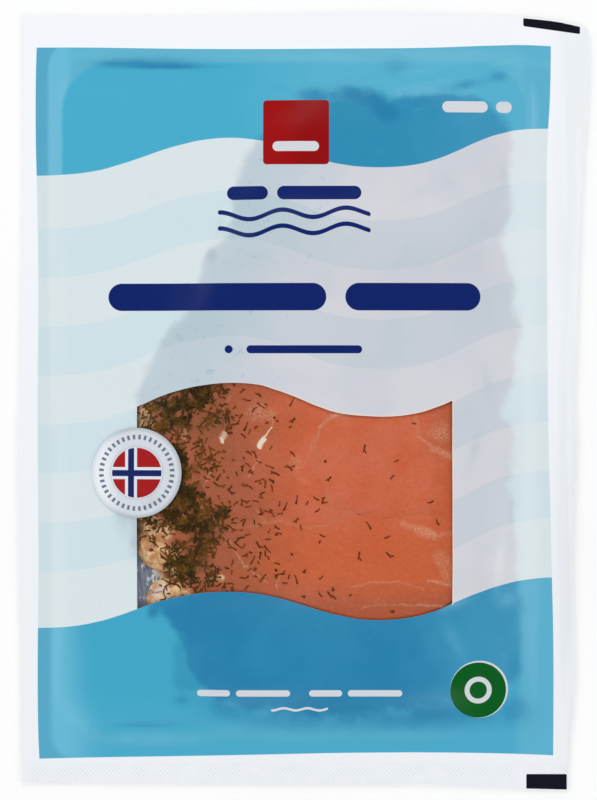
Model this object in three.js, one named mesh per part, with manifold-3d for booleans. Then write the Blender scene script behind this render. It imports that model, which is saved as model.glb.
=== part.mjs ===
// A flat film pack of sliced, dill-cured salmon. It lies on its back film with the printed lid film up.
// Millimetres: +X is the pack's right, +Y its top edge and +Z out of its face. The origin is on the
// surface that the pack lies on, under the middle of the pack.
import * as THREE from "three";
import { mergeVertices } from "three/addons/utils/BufferGeometryUtils.js";
import Module from "manifold-3d";

const wasm = await Module();
wasm.setup();

// Driving dimensions.
const GAP = 0.3; // between pieces that touch
const BACK_THICK = 0.4;
const LID_THICK = 0.3;
const DILL_HEIGHT = 0.4;

// The board that the slices lie on.
const BOARD = { left: -63.8, right: 58, top: 89.5, bottom: -85.8, thick: 0.8, cornerRadius: 13 };

// The round sticker.
const BADGE = { x: -44.1, y: -18.6, radius: 11.8, thick: 0.35, sides: 40 };

// The film was cut by hand-fed blades, so each edge of the pack wanders a little.
const TOP_EDGE = [[-74.4, 101.9], [-40, 101.7], [9, 102.4], [46, 102], [64, 100.8], [73.3, 99]];
const RIGHT_EDGE = [
  [74.6, 97.6], [75.3, 88], [72.8, 49], [71.9, 19], [71.2, 0.5],
  [71.7, -14], [70.3, -40], [71.6, -73], [70.1, -90], [69.6, -101.9],
];
const BOTTOM_EDGE = [[69.4, -102.4], [51, -101.9], [30, -100.9], [-20, -100.8], [-74.4, -100.5]];
const LEFT_EDGE = [[-74.6, -100.2], [-74.9, -65], [-75.5, -20], [-74.9, 16], [-74.2, 64], [-74.4, 101.4]];
const EDGE_STEPS = 22;

// The slices, from the one laid first: middle, half length along X, half width along Y, turn in degrees and
// thickness. Blunt is the exponent of its rounded oblong, where 2 is an ellipse. Wedge is how much shorter its
// left end is on the upper side than at its middle. Slice six shows as the clear right half of the window.
const SLICES = [
  { x: 12, y: -59, halfLength: 45, halfWidth: 23, turn: 2, thick: 3.5, blunt: 3.4, wedge: 0 },
  { x: 5, y: -36, halfLength: 51, halfWidth: 19, turn: -1, thick: 2.6, blunt: 3.4, wedge: -0.08 },
  { x: 17, y: -30, halfLength: 39, halfWidth: 19, turn: 2, thick: 2.3, blunt: 2.5, wedge: 0 },
  { x: 12, y: 20, halfLength: 44, halfWidth: 34, turn: 2, thick: 3.6, blunt: 3.5, wedge: 0.22 },
  { x: -12, y: -4.5, halfLength: 33, halfWidth: 29, turn: 2, thick: 3, blunt: 3.6, wedge: 0.22 },
  { x: 29, y: -13.5, halfLength: 27, halfWidth: 17, turn: 4, thick: 2.3, blunt: 2.5, wedge: 0 },
  { x: 19, y: 56.5, halfLength: 36.5, halfWidth: 25.5, turn: 2, thick: 3.8, blunt: 3.2, wedge: 0.24 },
];
const SLICE_SIDES = 44;
const SLICE_TAPER = 7; // how far in from its edge a slice reaches its full thickness
const SLICE_EDGE_SHARE = 0.3; // of its thickness that is left at its edge

// Every height is known on one shared lattice, so that what lies on a piece follows it exactly.
const LATTICE_STEP = 6;
const BOARD_CLEARANCE = 0.6;
const BOARD_FALL = 3.4; // the width in which the film comes down from the board's edge
const LATTICE_MARGIN = 3;
const CELL_REACH = LATTICE_STEP * Math.SQRT2;

function latticeLines(packLow, boardLow, boardHigh, packHigh) {
  const low = boardLow - BOARD_CLEARANCE;
  const high = boardHigh + BOARD_CLEARANCE;
  const cells = Math.round((high - low) / LATTICE_STEP);
  const across = Array.from({ length: cells + 1 }, (_, i) => low + ((high - low) * i) / cells);
  return [packLow - LATTICE_MARGIN, low - BOARD_FALL, ...across, high + BOARD_FALL, packHigh + LATTICE_MARGIN];
}

const columns = latticeLines(-75.5, BOARD.left, BOARD.right, 75.3);
const rows = latticeLines(-102.4, BOARD.bottom, BOARD.top, 102.4);

// A field holds one height for each crossing of the lattice.
function field(heightAt) {
  return rows.map((y, j) => columns.map((x, i) => heightAt(x, y, j, i)));
}

function raised(base, lift) {
  return field((x, y, j, i) => base[j][i] + lift(x, y));
}

// The height of a field between its crossings, on the same triangles that its slab has.
function heightOf(heights, x, y) {
  const i = Math.max(0, columns.findIndex((line) => line > x) - 1);
  const j = Math.max(0, rows.findIndex((line) => line > y) - 1);
  const u = (x - columns[i]) / (columns[i + 1] - columns[i]);
  const v = (y - rows[j]) / (rows[j + 1] - rows[j]);
  const corner = heights[j][i];
  const far = heights[j + 1][i + 1];
  if (u > v) return corner + (heights[j][i + 1] - corner) * (u - v) + (far - corner) * v;
  return corner + (heights[j + 1][i] - corner) * (v - u) + (far - corner) * u;
}

function solidOf(geometry) {
  const bare = geometry.clone();
  bare.deleteAttribute("normal");
  bare.deleteAttribute("uv");
  const merged = mergeVertices(bare, 1e-4);
  return new wasm.Manifold(
    new wasm.Mesh({
      numProp: 3,
      vertProperties: new Float32Array(merged.attributes.position.array),
      triVerts: new Uint32Array(merged.index.array),
    }),
  );
}

// The solid between two fields, over the whole lattice.
function slab(low, high) {
  const wide = columns.length;
  const layer = wide * rows.length;
  const at = (j, i, upper) => upper * layer + j * wide + i;
  const positions = [low, high].flatMap((heights) =>
    rows.flatMap((y, j) => columns.flatMap((x, i) => [x, y, heights[j][i]])),
  );
  const faces = [];
  const quad = (a, b, c, d) => faces.push(a, b, c, a, c, d);
  for (let j = 0; j + 1 < rows.length; j++) {
    for (let i = 0; i + 1 < wide; i++) {
      quad(at(j, i, 1), at(j, i + 1, 1), at(j + 1, i + 1, 1), at(j + 1, i, 1));
      faces.push(at(j, i, 0), at(j + 1, i + 1, 0), at(j, i + 1, 0));
      faces.push(at(j, i, 0), at(j + 1, i, 0), at(j + 1, i + 1, 0));
    }
  }
  const last = rows.length - 1;
  for (let i = 0; i + 1 < wide; i++) {
    quad(at(0, i, 0), at(0, i + 1, 0), at(0, i + 1, 1), at(0, i, 1));
    quad(at(last, i + 1, 0), at(last, i, 0), at(last, i, 1), at(last, i + 1, 1));
  }
  for (let j = 0; j < last; j++) {
    quad(at(j + 1, 0, 0), at(j, 0, 0), at(j, 0, 1), at(j + 1, 0, 1));
    quad(at(j, wide - 1, 0), at(j + 1, wide - 1, 0), at(j + 1, wide - 1, 1), at(j, wide - 1, 1));
  }
  const geometry = new THREE.BufferGeometry();
  geometry.setAttribute("position", new THREE.Float32BufferAttribute(positions, 3));
  geometry.setIndex(faces);
  return solidOf(geometry);
}

// An upright prism over an outline.
function prism(outline, low, high) {
  const geometry = new THREE.ExtrudeGeometry(new THREE.Shape(outline), { depth: high - low, bevelEnabled: false });
  geometry.translate(0, 0, low);
  return geometry;
}

const PRISM_TOP = 60; // above everything that a prism cuts

function cutTo(outline, solid) {
  return solid.intersect(solidOf(prism(outline, -1, PRISM_TOP)));
}

function packOutline() {
  return [TOP_EDGE, RIGHT_EDGE, BOTTOM_EDGE, LEFT_EDGE].flatMap((edge) => {
    const curve = new THREE.SplineCurve(edge.map(([x, y]) => new THREE.Vector2(x, y)));
    return curve.getPoints(EDGE_STEPS);
  });
}

// How far a slice's outline lies from its middle in a direction, which is an angle in the slice's own axes,
// before its left end is wedged.
function sliceReach(slice, angle, order) {
  const along = Math.abs(Math.cos(angle) / slice.halfLength) ** slice.blunt;
  const across = Math.abs(Math.sin(angle) / slice.halfWidth) ** slice.blunt;
  const wobble = 0.02 * Math.sin(3 * angle + 2 * order) + 0.015 * Math.sin(5 * angle + 5 * order);
  return (1 + wobble) * (along + across) ** (-1 / slice.blunt);
}

// What the wedge makes of a length along the slice, at a height across it.
function wedged(slice, along, across) {
  if (along > 0) return 1;
  return 1 - slice.wedge * THREE.MathUtils.clamp(across / slice.halfWidth, -1.2, 1.2);
}

function sliceOutline(slice, order) {
  const turn = THREE.MathUtils.degToRad(slice.turn);
  const middle = new THREE.Vector2(slice.x, slice.y);
  return Array.from({ length: SLICE_SIDES }, (_, i) => {
    const angle = (2 * Math.PI * i) / SLICE_SIDES;
    const reach = sliceReach(slice, angle, order);
    const point = new THREE.Vector2(reach * Math.cos(angle), reach * Math.sin(angle));
    point.x *= wedged(slice, point.x, point.y);
    return point.rotateAround(new THREE.Vector2(), turn).add(middle);
  });
}

// How far a point is outside a slice's outline; it is below zero inside.
function outside(slice, order, x, y) {
  const point = new THREE.Vector2(x - slice.x, y - slice.y);
  point.rotateAround(new THREE.Vector2(), -THREE.MathUtils.degToRad(slice.turn));
  point.x /= wedged(slice, point.x, point.y);
  return point.length() - sliceReach(slice, Math.atan2(point.y, point.x), order);
}

// What a slice adds to the height of the stack. Past its outline the height falls slowly, then to nothing.
function sliceLift(slice, order, x, y) {
  const past = outside(slice, order, x, y);
  const swell = 1 + 0.12 * Math.sin(x / 9 + 2 * order) * Math.cos(y / 8 - order);
  const full = slice.thick * swell;
  const edge = slice.thick * SLICE_EDGE_SHARE;
  if (past < 0) return GAP + edge + (full - edge) * THREE.MathUtils.smoothstep(-past, 0, SLICE_TAPER);
  const least = GAP + 0.05;
  if (past < CELL_REACH) return THREE.MathUtils.lerp(GAP + edge, least, past / CELL_REACH);
  return Math.max(0, least * (2 - past / CELL_REACH));
}

// How thickly the dill lies, from 0 to 1: a crust along the left ends of the slices, thinning to the right.
const DILL_MIDDLE = -38;
const DILL_SPREAD = 26;
function dillCover(x, y) {
  const middle = DILL_MIDDLE + 5 * Math.sin(y / 14);
  return Math.exp(-(((x - middle) / DILL_SPREAD) ** 2));
}

// One thread of dill: a thin three-sided bar that lies half sunk in the slice.
const DILL = { count: 15, shortest: 1.6, longest: 3.4, radius: 0.36, inset: 2.5, tries: 400 };
function dillThread(surface, x, y, length, turn) {
  const half = new THREE.Vector3(Math.cos(turn), Math.sin(turn), 0).multiplyScalar(length / 2);
  const tail = new THREE.Vector3(x - half.x, y - half.y, heightOf(surface, x - half.x, y - half.y));
  const tip = new THREE.Vector3(x + half.x, y + half.y, heightOf(surface, x + half.x, y + half.y));
  const geometry = new THREE.CylinderGeometry(DILL.radius * 0.55, DILL.radius, tail.distanceTo(tip), 3, 1);
  geometry.rotateZ(-Math.PI / 2);
  geometry.rotateX(Math.PI / 2);
  const way = tip.clone().sub(tail).normalize();
  geometry.applyQuaternion(new THREE.Quaternion().setFromUnitVectors(new THREE.Vector3(1, 0, 0), way));
  const middle = tail.add(tip).multiplyScalar(0.5);
  geometry.translate(middle.x, middle.y, middle.z);
  return solidOf(geometry);
}

// A small repeatable source of random numbers from 0 to 1.
function seeded(seed) {
  let state = seed;
  return () => {
    state = (state * 1664525 + 1013904223) % 4294967296;
    return state / 4294967296;
  };
}

// Dill lies only where a slice shows: well inside its own outline and clear of every slice above it.
function withDill(solid, surface, order) {
  const random = seeded(11 + order);
  const slice = SLICES[order];
  const placed = [];
  let result = solid;
  for (let tries = 0; tries < DILL.tries && placed.length < DILL.count; tries++) {
    const x = slice.x + (2 * random() - 1) * slice.halfLength;
    const y = slice.y + (2 * random() - 1) * slice.halfWidth;
    const length = THREE.MathUtils.lerp(DILL.shortest, DILL.longest, random());
    const turn = random() * Math.PI;
    const room = length / 2 + DILL.inset;
    const shows = SLICES.every((other, k) => k <= order || outside(other, k, x, y) > room);
    const crowded = placed.some((spot) => Math.hypot(spot[0] - x, spot[1] - y) < DILL.longest + 1);
    if (random() > dillCover(x, y) || outside(slice, order, x, y) > -room || !shows || crowded) continue;
    placed.push([x, y]);
    result = result.add(dillThread(surface, x, y, length, turn));
  }
  return result;
}

function piece(name, solid, colour, roughness, metalness = 0) {
  const { vertProperties, triVerts } = solid.getMesh();
  const geometry = new THREE.BufferGeometry();
  geometry.setAttribute("position", new THREE.BufferAttribute(new Float32Array(vertProperties), 3));
  geometry.setIndex(new THREE.BufferAttribute(new Uint32Array(triVerts), 1));
  const flat = geometry.toNonIndexed();
  flat.computeVertexNormals();
  const material = new THREE.MeshStandardMaterial({ color: colour, roughness, metalness });
  const mesh = new THREE.Mesh(flat, material);
  mesh.name = name;
  return mesh;
}

// The flat web that closes the pack underneath.
function backFilm(outline) {
  return piece("back_film", solidOf(prism(outline, 0, BACK_THICK)), 0xe9eef2, 0.35);
}

// The silvered card inside, with round corners.
function board(low) {
  const { left, right, top, bottom, cornerRadius: r } = BOARD;
  const shape = new THREE.Shape();
  shape.moveTo(left + r, bottom);
  shape.lineTo(right - r, bottom);
  shape.absarc(right - r, bottom + r, r, -Math.PI / 2, 0, false);
  shape.lineTo(right, top - r);
  shape.absarc(right - r, top - r, r, 0, Math.PI / 2, false);
  shape.lineTo(left + r, top);
  shape.absarc(left + r, top - r, r, Math.PI / 2, Math.PI, false);
  shape.lineTo(left, bottom + r);
  shape.absarc(left + r, bottom + r, r, Math.PI, 1.5 * Math.PI, false);
  const geometry = new THREE.ExtrudeGeometry(shape, { depth: BOARD.thick, bevelEnabled: false, curveSegments: 10 });
  geometry.translate(0, 0, low);
  return piece("board", solidOf(geometry), 0x9a9fa6, 0.3, 0.8);
}

// The printed film: it follows what lies under it and comes down flat round it.
function lidFilm(outline, low) {
  return piece("lid_film", cutTo(outline, slab(low, raised(low, () => LID_THICK))), 0xcfe3ec, 0.3);
}

// The round sticker on the lid film.
function badge(under) {
  const low = raised(under, () => GAP);
  const round = Array.from({ length: BADGE.sides }, (_, i) => {
    const angle = (2 * Math.PI * i) / BADGE.sides;
    return new THREE.Vector2(BADGE.x + BADGE.radius * Math.cos(angle), BADGE.y + BADGE.radius * Math.sin(angle));
  });
  return piece("badge", cutTo(round, slab(low, raised(low, () => BADGE.thick))), 0xf2f4f6, 0.4);
}

// Stretched film spans the hollows of what it covers: no crossing lies lower than the mean of its neighbours.
function bridged(base) {
  return field((x, y, j, i) => {
    const around = [base[j - 1]?.[i], base[j + 1]?.[i], base[j][i - 1], base[j][i + 1]];
    if (around.includes(undefined) || !onBoard(x, y)) return base[j][i];
    return Math.max(base[j][i], around.reduce((sum, height) => sum + height, 0) / around.length);
  });
}

function onBoard(x, y) {
  const near = BOARD_CLEARANCE + 0.1;
  const across = x > BOARD.left - near && x < BOARD.right + near;
  return across && y > BOARD.bottom - near && y < BOARD.top + near;
}

const pack = new THREE.Group();
const outline = packOutline();
pack.add(backFilm(outline));
pack.add(board(BACK_THICK + GAP));

let stack = field((x, y) => (onBoard(x, y) ? BACK_THICK + GAP + BOARD.thick : BACK_THICK));
SLICES.forEach((slice, order) => {
  const low = raised(stack, () => GAP);
  const high = raised(stack, (x, y) => Math.max(sliceLift(slice, order, x, y), GAP + 0.05));
  const bare = cutTo(sliceOutline(slice, order), slab(low, high));
  stack = raised(stack, (x, y) => sliceLift(slice, order, x, y));
  pack.add(piece(`slice_${order + 1}`, withDill(bare, stack, order), 0xe08a66, 0.35));
});

const clear = raised(stack, (x, y) => GAP + (onBoard(x, y) ? DILL_HEIGHT : 0));
const lidLow = bridged(clear);
pack.add(lidFilm(outline, lidLow));
pack.add(badge(raised(lidLow, () => LID_THICK)));

export default pack;
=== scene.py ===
import math
import random

import bmesh
import bpy
from mathutils import Matrix, Vector, noise
from mathutils.bvhtree import BVHTree


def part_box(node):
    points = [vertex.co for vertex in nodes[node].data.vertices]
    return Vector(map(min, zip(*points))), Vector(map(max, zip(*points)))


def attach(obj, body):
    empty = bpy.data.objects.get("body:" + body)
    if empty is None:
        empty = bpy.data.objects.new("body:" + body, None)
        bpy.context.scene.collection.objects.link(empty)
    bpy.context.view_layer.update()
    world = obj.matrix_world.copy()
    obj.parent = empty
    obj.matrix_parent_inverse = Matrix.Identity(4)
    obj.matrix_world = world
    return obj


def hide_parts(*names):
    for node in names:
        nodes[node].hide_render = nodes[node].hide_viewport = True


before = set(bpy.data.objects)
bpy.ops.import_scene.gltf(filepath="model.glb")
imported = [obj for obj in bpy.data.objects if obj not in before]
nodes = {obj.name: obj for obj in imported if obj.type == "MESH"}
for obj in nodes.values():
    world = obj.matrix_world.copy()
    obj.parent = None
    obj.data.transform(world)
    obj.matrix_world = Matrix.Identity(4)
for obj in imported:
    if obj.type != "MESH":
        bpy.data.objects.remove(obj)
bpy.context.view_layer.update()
MM = 0.001


# The camera hangs over the pack and looks straight down on the printed face, as the photograph does.
# Its long lens keeps the raised middle of the pack from spreading. The pack lies a little right of and
# below the middle of the picture.
PICTURE_HIGH = 800
MM_PER_PIXEL = 0.2632
LENS = 150
SENSOR = 36
PACK_OFF_CENTRE = (6.0, -2.0)  # in pixels of the photograph
EYE_LEVEL = 4 * MM
NEAREST, FARTHEST = 0.01, 20

scene = bpy.context.scene
camera = bpy.data.objects.new("camera", bpy.data.cameras.new("camera"))
scene.collection.objects.link(camera)
camera.data.lens = LENS
camera.data.sensor_width = SENSOR
distance = LENS / SENSOR * PICTURE_HIGH * MM_PER_PIXEL * MM
camera.location = (
    -PACK_OFF_CENTRE[0] * MM_PER_PIXEL * MM,
    -PACK_OFF_CENTRE[1] * MM_PER_PIXEL * MM,
    EYE_LEVEL + distance,
)
camera.data.clip_start = NEAREST
camera.data.clip_end = FARTHEST
scene.camera = camera
scene.view_settings.view_transform = "Standard"


# The back film is a plain white web, a little cloudy, which is sealed to the lid film all round. It is
# the CAD solid with its own finish. The wiring of every later finish starts here too.
def screen(text):
    """A colour as a screen shows it, as the linear numbers that a shader takes."""
    parts = [int(text[i : i + 2], 16) / 255 for i in (0, 2, 4)]
    return tuple(p / 12.92 if p <= 0.04045 else ((p + 0.055) / 1.055) ** 2.4 for p in parts) + (1.0,)


def worked(operation, turned=False):
    """A sign of arithmetic between a value and another value or number."""

    def sign(value, other):
        pair = (other, value) if turned else (value, other)
        return value.wires.math(operation, *pair)

    return sign


class Value:
    """A number or a colour on its way through the wiring. A sign between two adds the node for it."""

    def __init__(self, wires, socket):
        self.wires = wires
        self.socket = socket

    __add__, __sub__, __mul__, __truediv__ = map(worked, ("ADD", "SUBTRACT", "MULTIPLY", "DIVIDE"))
    __rsub__ = worked("SUBTRACT", turned=True)
    larger, smaller = worked("MAXIMUM"), worked("MINIMUM")

    def __abs__(self):
        return self.wires.math("ABSOLUTE", self)

    def scaled(self, factor, more):
        """The value times the factor, and more added to it."""
        return self.wires.math("MULTIPLY_ADD", self, factor, more)

    def ramp(self, low, high, kind="SMOOTHSTEP"):
        """0 where the value is at low, 1 at high and a smooth step between."""
        sockets = {0: self, 1: low, 2: high, 3: 0.0, 4: 1.0}
        return self.wires.value("ShaderNodeMapRange", sockets, interpolation_type=kind)

    def within(self, limit, soft=0.05):
        """1 where the value is under the limit and 0 past it, with a soft edge."""
        return self.ramp(limit + soft, limit - soft)

    def waver(self, size, far):
        """A place in mm, led astray by soft noise of that size, by up to about half of far."""
        return (self.wires.speckle(size, 2.0) - 0.5).scaled(far, self)


class Wires:
    """Adds shader nodes to a tree. A socket is given a number, a value or a colour's screen text."""

    def __init__(self, tree):
        self.tree = tree

    def put(self, socket, value):
        if isinstance(value, Value):
            self.tree.links.new(value.socket, socket)
        else:
            socket.default_value = screen(value) if isinstance(value, str) else value

    def node(self, kind, sockets=None, **settings):
        made = self.tree.nodes.new(kind)
        for name, value in settings.items():
            setattr(made, name, value)
        for name, value in (sockets or {}).items():
            self.put(made.inputs[name], value)
        return made

    def value(self, kind, sockets=None, outlet=0, **settings):
        """What a new node gives out."""
        return Value(self, self.node(kind, sockets, **settings).outputs[outlet])

    def values(self, node):
        """All that a node gives out, by name."""
        return {socket.name: Value(self, socket) for socket in node.outputs}

    def math(self, operation, *values, clamp=False):
        return self.value("ShaderNodeMath", dict(enumerate(values)), operation=operation, use_clamp=clamp)

    def mix(self, share, under, over):
        """A colour laid over another by a share, or by the product of two."""
        share = share[0] * share[1] if isinstance(share, tuple) else share
        return self.value("ShaderNodeMix", {0: share, 6: under, 7: over}, 2, data_type="RGBA")

    def laid(self, colour, *layers):
        """A colour with others laid over it in turn, each by its share."""
        for share, over in layers:
            colour = self.mix(share, colour, over)
        return colour

    def place(self):
        """Where a point is on the object, in metres."""
        return self.value("ShaderNodeTexCoord", outlet="Object")

    def flat_place(self):
        """How far a point is across and up the pack's face, in mm."""
        place = self.values(self.node("ShaderNodeSeparateXYZ", {0: self.place()}))
        return place["X"] / MM, place["Y"] / MM

    def speckle(self, size, detail=2.0, stretch=(1, 1, 1), roughness=0.5):
        """Soft noise, about 0 to 1, with patches of that size in metres."""
        turned = self.value("ShaderNodeMapping", {"Vector": self.place(), "Scale": stretch})
        sockets = {"Vector": turned, "Scale": 1 / size, "Detail": detail, "Roughness": roughness}
        return self.value("ShaderNodeTexNoise", sockets)

    def far(self, off_x, off_y):
        """How far a point is that lies so far across and up."""
        return self.math("SQRT", off_x.scaled(off_x, off_y * off_y))

    def carried(self, name):
        """A value that the mesh holds at each of its points."""
        return self.value("ShaderNodeAttribute", outlet="Fac", attribute_name=name)

    def use(self, group, sockets=None):
        """All that a node group gives out for those values."""
        return self.values(self.node("ShaderNodeGroup", sockets, node_tree=group))


def new_finish(name, roughness, gloss=0.5, coat=0.0):
    """A material with its shader, whose sockets the caller fills."""
    material = bpy.data.materials.new(name)
    material.use_nodes = True
    shader = material.node_tree.nodes["Principled BSDF"]
    shader.inputs["Roughness"].default_value = roughness
    shader.inputs["Specular IOR Level"].default_value = gloss
    shader.inputs["Coat Weight"].default_value = coat
    shader.inputs["Coat Roughness"].default_value = 0.12
    return material, Wires(material.node_tree), shader


def new_group(name, inputs, outputs):
    """A shader node group of numbers. Inputs are name: default, and outputs are names."""
    tree = bpy.data.node_groups.new(name, "ShaderNodeTree")
    for label, default in inputs.items():
        socket = tree.interface.new_socket(label, in_out="INPUT", socket_type="NodeSocketFloat")
        socket.default_value = default
    for label in outputs:
        tree.interface.new_socket(label, in_out="OUTPUT", socket_type="NodeSocketFloat")
    wires = Wires(tree)
    return tree, wires, wires.values(wires.node("NodeGroupInput")), wires.node("NodeGroupOutput").inputs


def emboss(wires, shader, height, depth, strength=1.0):
    """Dents the finish by a height of 0 to 1 that stands for a depth in metres."""
    sockets = {"Height": height, "Strength": strength, "Distance": depth}
    wires.put(shader.inputs["Normal"], wires.value("ShaderNodeBump", sockets))


def dress(obj, material):
    """The object shows that material alone."""
    obj.data.materials.clear()
    obj.data.materials.append(material)


def film_creases():
    """The small unevenness of stretched film: a slow waver and fine creases down it."""
    tree, wires, _, out = new_group("film_creases", {}, ["Height"])
    waver = wires.speckle(9 * MM, 1.0)
    crease = wires.speckle(2.4 * MM, 3.0, stretch=(1, 0.35, 1))
    ridge = abs(crease - 0.5)
    wires.put(out["Height"], ridge.scaled(-0.5, waver))
    return tree


FILM_CREASES = film_creases()

back_finish, wires, shader = new_finish("back_web", 0.38)
wires.put(shader.inputs["Base Color"], wires.mix(wires.speckle(14 * MM, 3.0), "EDF1F6", "E2E8EE"))
emboss(wires, shader, wires.use(FILM_CREASES)["Height"], 0.08 * MM)
dress(nodes["back_film"], back_finish)


# The board is stiff card with a silver foil face, punched with round corners, and the slices are laid on
# it. It is the CAD solid with its own finish: foil that is dull blue-grey face on, with fine scuffs, and
# a few glints by the fish that are painted highlights, white in its colour.
foil_finish, wires, shader = new_finish("foil_board", 0.42)
grain = wires.speckle(1.6 * MM, 5.0, stretch=(2.5, 0.5, 1), roughness=0.7)
foil = wires.mix(grain.ramp(0.38, 0.74), "818B9D", "B4BCCA")
across, up = wires.flat_place()
# Painted highlight: a few small glints by the fish's edge are painted pure white into the foil, with its
# metal taken away there.
painted_glint = wires.speckle(1.1 * MM, 3.0, stretch=(1.6, 0.5, 1), roughness=0.7)
painted_glint = across.ramp(-43, -39).scaled(0.16, painted_glint).ramp(0.6, 0.68)
foil = wires.mix(painted_glint, foil, "FFFFFF")
wires.put(shader.inputs["Base Color"], foil)
wires.put(shader.inputs["Roughness"], grain.scaled(0.35, 0.22))
wires.put(shader.inputs["Metallic"], painted_glint.scaled(-0.3, 0.3))
emboss(wires, shader, grain, 0.05 * MM)
dress(nodes["board"], foil_finish)


# Each slice is cured fish cut thin and laid shingled on the board. It is soft and moist, with a thin
# edge that clings to what it lies on, pale lines of fat, and dill pressed on its left end. It is made
# from the CAD slice, whose facets and stub threads are melted into one smooth skin.
VOXEL = 0.6 * MM
HIDDEN_VOXEL = 0.85 * MM
SHOWN_SLICES = ("slice_2", "slice_3", "slice_5", "slice_6")
SMOOTH_ROUNDS = 12
CAD_EDGE_SHARE = 0.3  # of a slice's thickness that the CAD leaves at its edge
LIP_SHARE = 0.015  # of its thickness that is left here
LIP_FADE = 5  # how steeply the lip's paler tone fades inward
SWELL, SWELL_POWER = 1.7, 1.4  # how soon a slice has its full thickness, inward from its edge
THINNEST = 0.1 * MM
LIP_SINK = 0.04 * MM  # how far the edge beds into what it lies on
SETTLE = 0.27 * MM  # closes the CAD's gap under each slice
LEVEL_STEP = 1.5 * MM
LEVEL_ROUNDS = 14
PRESS_DROP = 0.9 * MM  # from the CAD lid's top face down to the pressed fish
CAPES = {"slice_1": 4.2}  # how far, in mm, a slice's corner is drawn out by the window's foot
# The forms of the slices' left edge, each by its middle x and y, half width and half height in mm.
LOW_CORNER, HIGH_CORNER = (-37, -50, 8, 7), (-41, 1, 6, 6)
BAY, CAPE = (-42, -45.8, 6, 3.2), (-38, -52, 6, 4.5)
CORNER_REACH = 5.5  # how far, in mm, the slices' left corners are drawn out
BAY_DEPTH = 5.4  # how far, in mm, their edge is held back between them
RAY_START = 0.1  # in metres, clear of the pack on either side
EDGE_NUDGES = (0, 0.3 * MM, 0.8 * MM, 2 * MM)  # how far inward a point past the CAD's edge looks for it
FULL_RANK = 0.75  # the share of a slice's points that are thinner than its full thickness
TOUCHING = 0.05 * MM
LEVEL_SHARES = (0.6, 2.2)  # the least and the most that the heap's height is multiplied by
UNDERLAP = 0.7 * MM  # how far a slice keeps its full height under the edge of the one on it


def tree_of(obj):
    return BVHTree.FromObject(obj, bpy.context.evaluated_depsgraph_get())


def held(value, low=0.0, high=1.0):
    """The value, kept between the two limits."""
    return min(high, max(low, value))


def top_of(tree, x, y, side=1):
    """A surface's height at a place, seen from above, or from below for side -1. None past its edge."""
    hit = tree.ray_cast(Vector((x, y, side * RAY_START)), Vector((0, 0, -side)))[0]
    return None if hit is None else hit.z


def highest(trees, x, y):
    """The height of the topmost of several surfaces at a place, or None where there is none."""
    tops = [top for top in (top_of(tree, x, y) for tree in trees) if top is not None]
    return max(tops) if tops else None


def linked(name, mesh):
    obj = bpy.data.objects.new(name, mesh)
    scene.collection.objects.link(obj)
    return obj


def node_copy(node, name):
    """A CAD node's mesh as an object of its own, with its loose triangles joined."""
    obj = linked(name, nodes[node].data.copy())
    shape = bmesh.new()
    shape.from_mesh(obj.data)
    bmesh.ops.remove_doubles(shape, verts=shape.verts, dist=0.001 * MM)
    shape.to_mesh(obj.data)
    shape.free()
    return obj


def apply_modifiers(obj):
    """Makes the object's modifiers part of its mesh."""
    mesh = bpy.data.meshes.new_from_object(obj.evaluated_get(bpy.context.evaluated_depsgraph_get()))
    obj.modifiers.clear()
    obj.data = mesh
    obj.data.name = obj.name


def smooth_faces(obj, angle=40):
    obj.data.shade_smooth()
    obj.data.set_sharp_from_angle(angle=math.radians(angle))


def keep_value(obj, name, values):
    """Gives the mesh one number at each of its points."""
    obj.data.attributes.new(name, "FLOAT", "POINT").data.foreach_set("value", values)


def stroke():
    """1 on a straight stroke between two places in mm, 0 off it, with a soft edge."""
    sizes = dict.fromkeys(["Across", "Up", "From X", "From Y", "To X", "To Y"], 0.0)
    tree, wires, given, out = new_group("stroke", {**sizes, "Half Wide": 1.0, "Soft": 0.1}, ["Mask"])
    way_x = given["To X"] - given["From X"]
    way_y = given["To Y"] - given["From Y"]
    off_x = given["Across"] - given["From X"]
    off_y = given["Up"] - given["From Y"]
    along = off_x.scaled(way_x, off_y * way_y)
    length = way_x.scaled(way_x, way_y * way_y)
    share = wires.math("DIVIDE", along, length + 0.0001, clamp=True)
    far = wires.far(off_x - way_x * share, off_y - way_y * share)
    inner, outer = given["Half Wide"] - given["Soft"], given["Half Wide"] + given["Soft"]
    wires.put(out["Mask"], 1.0 - far.ramp(inner, outer))
    return tree


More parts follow.
